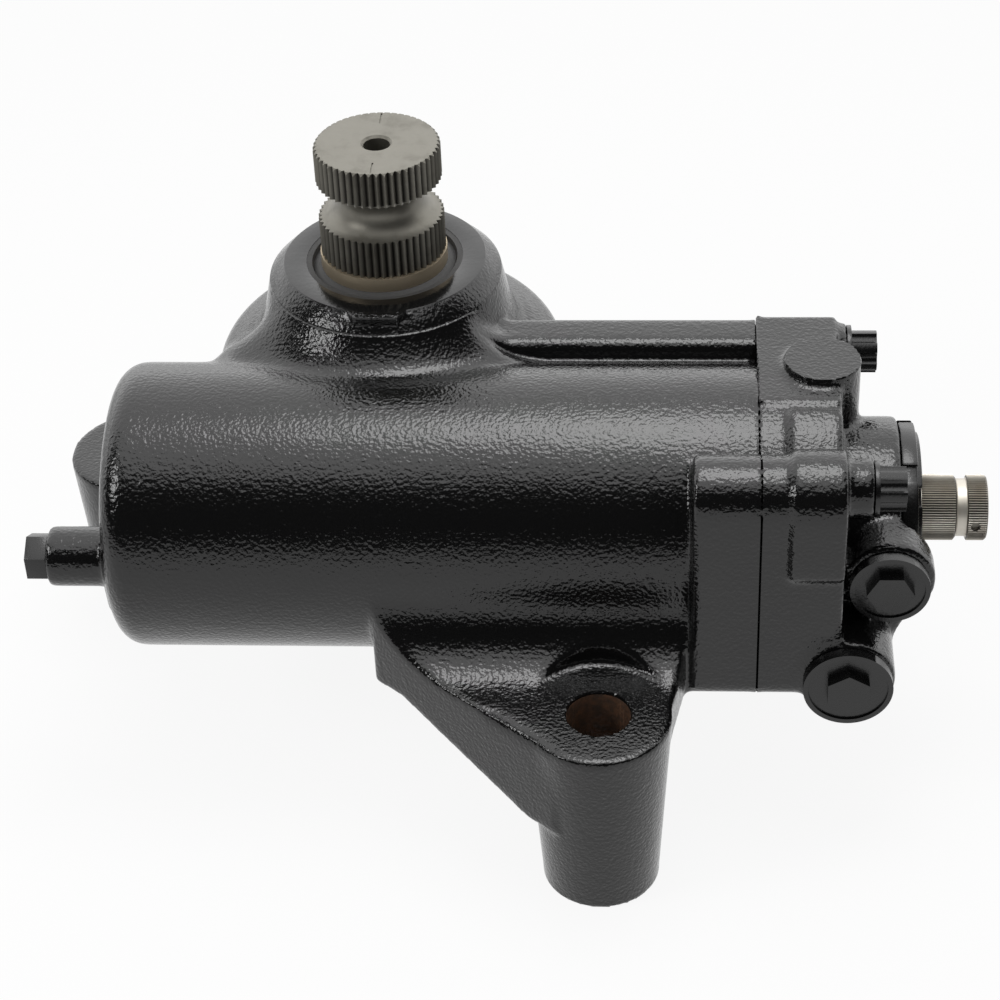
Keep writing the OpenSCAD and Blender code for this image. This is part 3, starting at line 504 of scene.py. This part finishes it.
def weighted(piece, name, rule):
    """A vertex group of the points for which the rule holds."""
    group = piece.vertex_groups.new(name=name)
    chosen = np.nonzero(rule(points_of(piece)))[0]
    group.add([int(i) for i in chosen], 1.0, "REPLACE")
    return group.name


def from_sector(p):
    """Distances from the axis of the sector shaft."""
    return np.hypot(p[:, 0] - SECTOR_AXIS.x, p[:, 1] - SECTOR_AXIS.y)


def from_piston(p):
    """Distances from the axis of the piston."""
    return np.hypot(p[:, 1] - PISTON_AXIS.y, p[:, 2] - PISTON_AXIS.z)


def in_box(p, low, high):
    """Which points lie between two corners."""
    return np.all((p > np.array(low)) & (p < np.array(high)), axis=1)


def installed(piece, node):
    """The piece stands for this solid and moves with its body."""
    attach(piece, node_body(node))
    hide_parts(node)
    paint(piece, node_slot(node))
    return piece


def cast_skin(node, name, machined, blended=None, raised=None, sunk=None):
    """The solid on a fine grid, rounded where it was cast and exact where it was machined."""
    sizes = bpy.context.scene.gearbox_casting
    piece = copied(node, name)
    applied(piece, "REMESH", mode="VOXEL", voxel_size=sizes.grid)
    if raised:
        move_points(piece, raised)
    if blended:
        group = weighted(piece, "blended", blended)
        applied(piece, "SMOOTH", factor=0.5, iterations=sizes.blends, vertex_group=group)
    group = weighted(piece, "as_cast", lambda p: ~machined(p))
    applied(piece, "SMOOTH", factor=0.5, iterations=sizes.rounds, vertex_group=group)
    applied(piece, "SMOOTH", factor=0.4, iterations=2)
    group = weighted(piece, "machined", machined)
    applied(piece, "SHRINKWRAP", target=NODES[node], wrap_method="NEAREST_SURFACEPOINT",
            vertex_group=group)
    piece.vertex_groups.clear()
    if sunk:
        move_points(piece, sunk)
    share = min(1.0, sizes.faces / (2.0 * len(piece.data.polygons)))
    applied(piece, "DECIMATE", ratio=share)
    shaded(piece, 38.0)
    return installed(piece, node)


def eased(node, name, width, segments=2):
    """A copy of a solid with its sharp edges broken."""
    piece = copied(node, name)
    bevelled(piece, width, segments, 32.0)
    shaded(piece, 34.0)
    return installed(piece, node)


# Pieces

class GEARBOX_OT_gear_casting(bpy.types.Operator):
    """The main casting with cylinder, sector boss, ears and feet"""
    bl_idname = "gearbox.gear_casting"
    bl_label = "Gear casting"

    def execute(self, context):
        cast_skin(
            "gear_housing", "gear_casting", self.machined, self.blended, self.raised, self.sunk)
        return {"FINISHED"}

    def machined(self, p):
        """Boss face, shaft hole, piston bore, joint face, feet and mounting holes."""
        around = from_sector(p)
        found = (around < 0.0542) & (p[:, 2] > FACE_Z - 0.0088)
        found |= around < 0.0405
        found |= (from_piston(p) < PISTON_BORE_R) & (p[:, 0] > BORE_END_X)
        found |= p[:, 0] > JOINT_X - JOINT_FACE
        found |= p[:, 2] < FEET_Z
        for hole in MOUNT_HOLES:
            found |= np.hypot(p[:, 0] - hole.x, p[:, 1] - hole.y) < 0.0150
        return found

    def blended(self, p):
        """Where the boss runs into the cylinder, and the back of the front ear."""
        boss = in_box(p, gear(-96, -16, 38), gear(52, 70, 84))
        boss &= (from_sector(p) > 0.0505) & (from_piston(p) > 0.0560)
        ear = in_box(p, gear(52, -140, -60), gear(84, -88, -26))
        return (boss | ear) & ~self.machined(p)

    def raised(self, p):
        """The wall of the boss flares out onto the cylinder in front of it."""
        flare_r, flare_width, flare_height = 0.082, 0.0285, 0.020
        flat = p[:, :2] - np.array(SECTOR_AXIS)[:2]
        around = np.hypot(flat[:, 0], flat[:, 1])
        turn = np.degrees(np.arctan2(flat[:, 0], -flat[:, 1]))
        share = np.clip((turn + 88) / 30, 0, 1) * np.clip((66 - turn) / 20, 0, 1)
        share = share * share * (3 - 2 * share)
        inward = np.clip(flare_r - around, 0, flare_width) / flare_width
        flare = FACE_Z - 0.0068 - flare_height * (1 - inward ** 2)
        here = (around > 0.0535) & (around < flare_r)
        here &= (from_piston(p) > 0.056) & (p[:, 2] > gear(0, 0, 36).z)
        moved = p.copy()
        moved[:, 2] += np.where(here, share * np.maximum(flare - p[:, 2], 0), 0)
        return moved

    def sunk(self, p):
        """Keeps clear of the exact boss face and of the piston at the end of its stroke."""
        face_gap, piston_gap = 0.0006, 0.0010
        moved = p.copy()
        flat = p[:, :2] - np.array(SECTOR_AXIS)[:2]
        around = np.maximum(np.hypot(flat[:, 0], flat[:, 1]), 1e-6)
        under = (around < RING_R) & (p[:, 2] > FACE_Z - 0.0080)
        moved[under, 2] -= face_gap
        wall = under & (around < 0.0385)
        moved[wall, :2] += (flat / around[:, None] * face_gap)[wall]
        cross = p[:, 1:] - np.array([PISTON_AXIS.y, PISTON_AXIS.z])
        bore = np.maximum(np.hypot(cross[:, 0], cross[:, 1]), 1e-6)
        end = (bore < PISTON_BORE_R) & (p[:, 0] > BORE_END_X) & (p[:, 0] < gear(-104, 0, 0).x)
        moved[end, 0] -= piston_gap
        corner = end & (bore > 0.045)
        moved[corner, 1:] += (cross / bore[:, None] * piston_gap)[corner]
        return moved


class GEARBOX_OT_boss_face(bpy.types.Operator):
    """The machined face of the sector boss with its chamfer and timing tab"""
    bl_idname = "gearbox.boss_face"
    bl_label = "Boss face"

    def execute(self, context):
        piece = copied("gear_housing", "boss_face")
        bpy.ops.mesh.primitive_cylinder_add(
            vertices=192, radius=RING_R, depth=0.0096,
            location=(SECTOR_AXIS.x, SECTOR_AXIS.y, FACE_Z - 0.0040))
        cutter = context.object
        applied(piece, "BOOLEAN", operation="INTERSECT", object=cutter, solver="EXACT")
        bpy.data.objects.remove(cutter)
        bevelled(piece, 0.00035, 2, 30.0)
        shaded(piece, 34.0)
        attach(piece, node_body("gear_housing"))
        paint(piece, node_slot("gear_housing"))
        return {"FINISHED"}


class GEARBOX_OT_valve_casting(bpy.types.Operator):
    """The valve housing casting with nose and ports"""
    bl_idname = "gearbox.valve_casting"
    bl_label = "Valve casting"

    def execute(self, context):
        cast_skin("valve_housing", "valve_casting", self.machined)
        return {"FINISHED"}

    def machined(self, p):
        """Joint face, bore and the round pad on top."""
        on_pad = np.hypot(p[:, 0] - PAD.x, p[:, 1] - PAD.y) < 0.0172
        on_pad &= p[:, 2] > PAD.z - 0.0012
        return (p[:, 0] < JOINT_X + JOINT_FACE) | (from_piston(p) < 0.0355) | on_pad


class GEARBOX_OT_cover_casting(bpy.types.Operator):
    """The cover under the sector chamber"""
    bl_idname = "gearbox.cover_casting"
    bl_label = "Cover casting"

    def execute(self, context):
        eased("side_cover", "cover_casting", 0.0018, 3)
        return {"FINISHED"}


class GEARBOX_OT_hardware(bpy.types.Operator):
    """Bolts, plugs, screws and nuts with broken edges"""
    bl_idname = "gearbox.hardware"
    bl_label = "Hardware"

    def execute(self, context):
        for node, width in (
            ("pressure_port_plug", 0.0007), ("return_port_plug", 0.0007), ("stop_screw", 0.0009),
            ("valve_housing_bolts", 0.0006), ("side_cover_bolts", 0.0008), ("adjust_lock_nut", 0.0008),
            ("bearing_adjuster", 0.0005), ("adjuster_locknut", 0.0008),
        ):
            eased(node, node + "_eased", width)
        return {"FINISHED"}


class GEARBOX_OT_finishes(bpy.types.Operator):
    """Finishes for all other parts"""
    bl_idname = "gearbox.finishes"
    bl_label = "Finishes"

    def execute(self, context):
        for node, part in NODES.items():
            if not part.hide_render:
                paint(part, node_slot(node))
        return {"FINISHED"}


class GEARBOX_OT_stage(bpy.types.Operator):
    """Floor, light, background and camera"""
    bl_idname = "gearbox.stage"
    bl_label = "Studio"

    def execute(self, context):
        studio = context.scene.gearbox_studio
        clear_selection()
        self.floor()
        self.room(context.scene, studio.room)
        context.scene.view_settings.view_transform = "Standard"
        self.lamp("top_lamp", studio.top_power, 0.6, (0.1, 0.15, 1.3))
        self.lamp("left_lamp", studio.left_power, 0.4, (-1.0, -0.5, 0.9))
        self.camera(studio.lens)
        return {"FINISHED"}

    def floor(self):
        """A pale floor that keeps a soft shadow."""
        bpy.ops.mesh.primitive_plane_add(size=24.0, location=(0, 0, CAD_BOX[0].z - 0.0005))
        floor = bpy.context.object
        floor.name = "floor"
        finish = Finish("pale_floor")
        rays = finish.rays("Is Camera Ray", "Is Glossy Ray", "Is Transmission Ray")
        matt = finish.add("ShaderNodeBsdfDiffuse", None, {"Color": (0.9, 0.9, 0.9)})
        glow = finish.add("ShaderNodeEmission", None, {"Color": (1.0, 1.0, 1.0), "Strength": 1.0})
        blend = finish.add("ShaderNodeMixShader", None, {
            0: sum(rays).clipped() * 0.9, 1: matt.outputs[0], 2: glow.outputs[0]})
        finish.put(finish.output.inputs["Surface"], blend.outputs[0])
        floor.data.materials.append(finish.material)

    def room(self, scene, strength):
        """A white ceiling and backdrop, with the dark side of the room behind the camera."""
        world = bpy.data.worlds.new("studio")
        scene.world = world
        room = Room(world)
        direct, through, shiny = room.rays("Is Camera Ray", "Is Transmission Ray", "Is Glossy Ray")
        seen = (direct + through).clipped()
        _, y, z = room.axes()
        ceiling, backdrop = z.step(0.76, 0.90), y.step(-0.02, 0.25)
        white = (ceiling + backdrop).clipped()
        level = shiny * (0.02 + white * 1.9) + (1 - shiny) * strength
        level = level * (1 - seen) + seen
        shade = room.add("ShaderNodeBackground", None, {"Color": (1.0, 1.0, 1.0), "Strength": level})
        room.put(room.output.inputs["Surface"], shade.outputs[0])

    def lamp(self, name, power, size, place):
        """A square lamp that is aimed at the part."""
        bpy.ops.object.light_add(type="AREA", location=place)
        lamp = bpy.context.object
        lamp.name = name
        lamp.data.energy = power
        lamp.data.shape = "SQUARE"
        lamp.data.size = size
        lamp.rotation_euler = (Vector((0, 0, 0.1)) - Vector(place)).to_track_quat("-Z", "Y").to_euler()

    def camera(self, lens):
        """The camera from which the photograph was taken."""
        ahead = Vector((-math.sin(CAMERA_YAW), math.cos(CAMERA_YAW), 0))
        side = Vector((math.cos(CAMERA_YAW), math.sin(CAMERA_YAW), 0))
        up = Vector((0, 0, 1))
        forward = math.cos(CAMERA_PITCH) * ahead - math.sin(CAMERA_PITCH) * up
        down = -(math.cos(CAMERA_PITCH) * up + math.sin(CAMERA_PITCH) * ahead)
        right = math.cos(CAMERA_ROLL) * side + math.sin(CAMERA_ROLL) * down
        below = -math.sin(CAMERA_ROLL) * side + math.cos(CAMERA_ROLL) * down
        bpy.ops.object.camera_add()
        camera = bpy.context.object
        camera.name = "photo_camera"
        turn = Matrix((right, -below, -forward)).transposed().to_4x4()
        camera.matrix_world = Matrix.Translation(CAMERA_PLACE) @ turn
        camera.data.lens = lens
        camera.data.sensor_width = 36.0
        camera.data.clip_start = 0.05
        bpy.context.scene.camera = camera


PIECES = (
    GEARBOX_OT_boss_face,
    GEARBOX_OT_gear_casting,
    GEARBOX_OT_valve_casting,
    GEARBOX_OT_cover_casting,
    GEARBOX_OT_hardware,
    GEARBOX_OT_finishes,
    GEARBOX_OT_stage,
)


class GEARBOX_PT_panel(bpy.types.Panel):
    """Lists the pieces of the gearbox"""
    bl_label = "Steering gearbox"
    bl_idname = "GEARBOX_PT_panel"
    bl_space_type = "VIEW_3D"
    bl_region_type = "UI"
    bl_category = "Gearbox"

    def draw(self, context):
        for piece in PIECES:
            self.layout.operator(piece.bl_idname)


CLASSES = (CastingSettings, PaintSettings, StudioSettings, *PIECES, GEARBOX_PT_panel)


def register():
    for each in CLASSES:
        bpy.utils.register_class(each)
    bpy.types.Scene.gearbox_casting = bpy.props.PointerProperty(type=CastingSettings)
    bpy.types.Scene.gearbox_paint = bpy.props.PointerProperty(type=PaintSettings)
    bpy.types.Scene.gearbox_studio = bpy.props.PointerProperty(type=StudioSettings)


def unregister():
    for name in ("gearbox_studio", "gearbox_paint", "gearbox_casting"):
        delattr(bpy.types.Scene, name)
    for each in reversed(CLASSES):
        bpy.utils.unregister_class(each)


def main():
    register()
    bpy.ops.gearbox.boss_face()
    bpy.ops.gearbox.gear_casting()
    bpy.ops.gearbox.valve_casting()
    bpy.ops.gearbox.cover_casting()
    bpy.ops.gearbox.hardware()
    bpy.ops.gearbox.finishes()
    bpy.ops.gearbox.stage()


if __name__ == "__main__":
    main()
